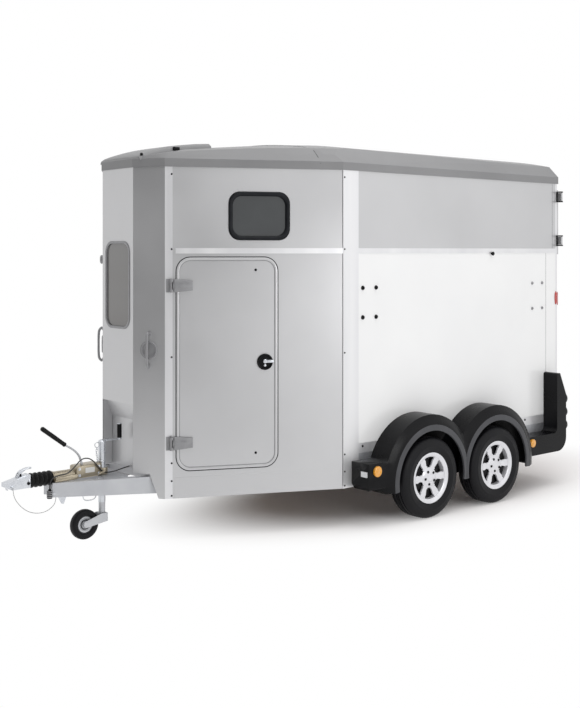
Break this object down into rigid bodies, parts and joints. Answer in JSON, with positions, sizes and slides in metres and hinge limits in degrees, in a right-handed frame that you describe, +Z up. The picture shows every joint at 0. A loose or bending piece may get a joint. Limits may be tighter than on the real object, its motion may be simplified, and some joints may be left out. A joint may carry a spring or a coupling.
{
  "type": "horse trailer",
  "caption": "Twin-axle enclosed horse trailer with a tapered nose, a side groom's door, a rear ramp under top doors and a swivelling jockey wheel.",
  "frame": {"origin": "on the ground under the middle of the trailer's bounding box", "axes": "+X forwards to the coupling, +Y to the trailer's left, +Z up"},
  "size_m": [4.56, 2.27, 2.753],
  "materials": {
    "white_panel": "gloss",
    "silver_panel": "satin",
    "roof_shell": "satin",
    "aluminium_trim": "satin",
    "galvanised": "satin",
    "zinc_housing": "satin",
    "black_plastic": "satin",
    "bellows_rubber": "matte",
    "frame_rubber": "matte",
    "tinted_glass": "gloss",
    "tyre_rubber": "matte",
    "rim_alloy": "satin",
    "red_lens": "gloss",
    "amber_lens": "gloss",
    "clear_lens": "gloss",
    "floor_board": "matte",
    "partition_pad": "matte",
    "blank_plate": "satin",
    "cord_black": "matte",
    "cable_steel": "satin"
  },
  "bodies": {
    "trailer": {"axle_front": "galvanised", "axle_rear": "galvanised", "bellows": "bellows_rubber", "breakaway_cable": "cable_steel", "chassis": "galvanised", "corner_posts": "aluminium_trim", "coupling_head": "galvanised", "drawbar": "galvanised", "electric_cable": "cord_black", "floor": "floor_board", "floor_strips": "aluminium_trim", "front_hinges": "aluminium_trim", "grab_handles": "aluminium_trim", "handbrake_grip": "black_plastic", "handbrake_lever": "galvanised", "holdbacks": "black_plastic", "horse_bars": "galvanised", "jockey_tube": "galvanised", "marker_lamps": "clear_lens", "mudguards": "black_plastic", "nose": "silver_panel", "nose_recess": "silver_panel", "overrun_housing": "zinc_housing", "parked_plug": "black_plastic", "partition": "partition_pad", "pilasters": "silver_panel", "rear_frame": "aluminium_trim", "rear_hinges": "black_plastic", "rear_pods": "black_plastic", "reflectors": "amber_lens", "roof_front": "roof_shell", "roof_rear": "roof_shell", "roof_vent": "roof_shell", "side_lower_panels": "white_panel", "side_upper_panels": "silver_panel", "tail_lamps": "red_lens", "taper_walls": "silver_panel", "waist_rails": "aluminium_trim", "window_frames": "frame_rubber", "window_panes": "tinted_glass"},
    "wheel_front_left": {"rim_front_left": "rim_alloy", "tyre_front_left": "tyre_rubber"},
    "wheel_front_right": {"rim_front_right": "rim_alloy", "tyre_front_right": "tyre_rubber"},
    "wheel_rear_left": {"rim_rear_left": "rim_alloy", "tyre_rear_left": "tyre_rubber"},
    "wheel_rear_right": {"rim_rear_right": "rim_alloy", "tyre_rear_right": "tyre_rubber"},
    "jockey_swivel": {"jockey_fork": "galvanised"},
    "jockey_wheel": {"jockey_rim": "rim_alloy", "jockey_tyre": "tyre_rubber"},
    "groom_door": {"groom_door": "silver_panel", "groom_door_straps": "aluminium_trim", "groom_door_lock": "black_plastic"},
    "unload_ramp": {"unload_ramp": "silver_panel"},
    "unload_door": {"unload_door": "silver_panel"},
    "rear_ramp": {"rear_ramp": "silver_panel", "plate_holder": "blank_plate"},
    "top_door_left": {"rear_top_door_left": "silver_panel"},
    "top_door_right": {"rear_top_door_right": "silver_panel"}
  },
  "joints": [
    {"name": "wheel_front_left_spin", "type": "hinge", "parent": "trailer", "child": "wheel_front_left", "pos_m": [-0.483, 1.043, 0.292], "axis": [0, 1, 0], "continuous": true},
    {"name": "wheel_front_right_spin", "type": "hinge", "parent": "trailer", "child": "wheel_front_right", "pos_m": [-0.483, -1.043, 0.292], "axis": [0, 1, 0], "continuous": true},
    {"name": "wheel_rear_left_spin", "type": "hinge", "parent": "trailer", "child": "wheel_rear_left", "pos_m": [-1.217, 1.043, 0.292], "axis": [0, 1, 0], "continuous": true},
    {"name": "wheel_rear_right_spin", "type": "hinge", "parent": "trailer", "child": "wheel_rear_right", "pos_m": [-1.217, -1.043, 0.292], "axis": [0, 1, 0], "continuous": true},
    {"name": "jockey_turn", "type": "hinge", "parent": "trailer", "child": "jockey_swivel", "pos_m": [1.572, 0, 0.24], "axis": [0, 0, 1], "continuous": true},
    {"name": "jockey_spin", "type": "hinge", "parent": "jockey_swivel", "child": "jockey_wheel", "pos_m": [1.707, 0, 0.1], "axis": [0, 1, 0], "continuous": true},
    {"name": "groom_door_swing", "type": "hinge", "parent": "trailer", "child": "groom_door", "pos_m": [1.29759, 0.43334, 1.2], "axis": [0, 0, -1], "range_deg": [0, 170]},
    {"name": "unload_door_swing", "type": "hinge", "parent": "trailer", "child": "unload_door", "pos_m": [1.29759, -0.43334, 2.2], "axis": [0, 0, 1], "range_deg": [0, 170]},
    {"name": "unload_ramp_fall", "type": "hinge", "parent": "trailer", "child": "unload_ramp", "pos_m": [0.84484, -0.63851, 0.448], "axis": [0.9041, 0.4274, 0], "range_deg": [0, 108]},
    {"name": "rear_ramp_fall", "type": "hinge", "parent": "trailer", "child": "rear_ramp", "pos_m": [-2.26, 0, 0.434], "axis": [0, -1, 0], "range_deg": [0, 106]},
    {"name": "top_door_left_swing", "type": "hinge", "parent": "trailer", "child": "top_door_left", "pos_m": [-2.26, 0.958, 2.17], "axis": [0, 0, -1], "range_deg": [0, 265]},
    {"name": "top_door_right_swing", "type": "hinge", "parent": "trailer", "child": "top_door_right", "pos_m": [-2.26, -0.958, 2.17], "axis": [0, 0, 1], "range_deg": [0, 265]}
  ]
}
